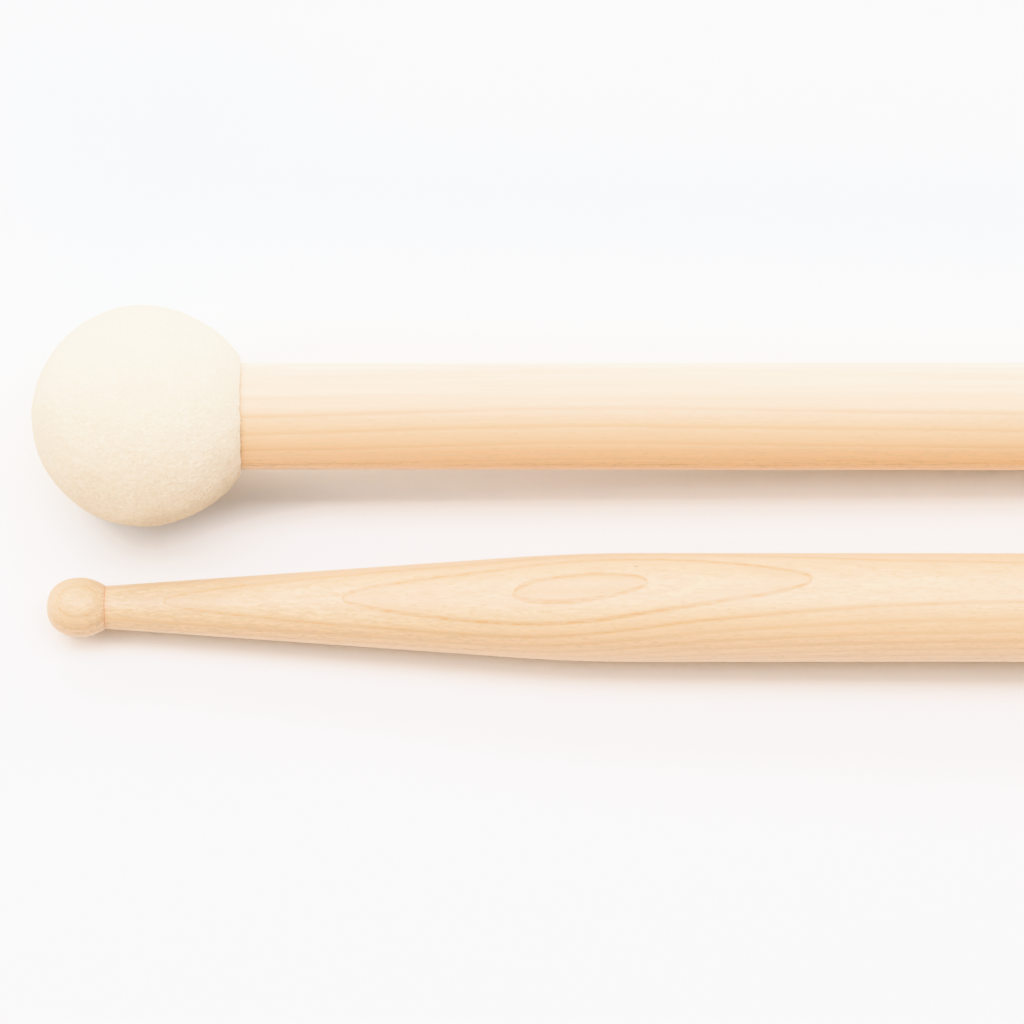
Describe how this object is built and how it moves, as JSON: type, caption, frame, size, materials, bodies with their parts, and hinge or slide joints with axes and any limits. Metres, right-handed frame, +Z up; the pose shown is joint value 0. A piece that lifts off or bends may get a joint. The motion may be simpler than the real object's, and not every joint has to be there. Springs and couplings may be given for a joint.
{
  "type": "double-ended felt and bead drum sticks",
  "caption": "Matched double-ended maple percussion sticks lying head to tail: a round felt mallet head on each butt and a turned bead tip at the other end.",
  "frame": {"origin": "on the surface that the sticks lie on, midway between them and midway along the pair", "axes": "+X along the sticks, from stick A's felt head to its bead; +Y from stick B towards stick A; +Z up"},
  "size_m": [0.4216, 0.0606, 0.0325],
  "materials": {
    "maple": "pale hard maple, sanded smooth, with a thin satin lacquer",
    "core_wood": "plain turned wood",
    "underfelt": "dense grey-white wool felt",
    "felt_cover": "cream wool felt with a short fine nap",
    "neck_thread": "waxed linen thread"
  },
  "bodies": {
    "stick_a": {"stick_a_shaft": "maple", "stick_a_head_core": "core_wood", "stick_a_head_underfelt": "underfelt", "stick_a_head_cover": "felt_cover", "stick_a_neck_thread": "neck_thread"},
    "stick_b": {"stick_b_shaft": "maple", "stick_b_head_core": "core_wood", "stick_b_head_underfelt": "underfelt", "stick_b_head_cover": "felt_cover", "stick_b_neck_thread": "neck_thread"}
  },
  "joints": [
    {"name": "stick_b_draw_aside", "type": "slide", "parent": "stick_a", "child": "stick_b", "axis": [0, -1, 0], "range_m": [0, 0.05]}
  ]
}
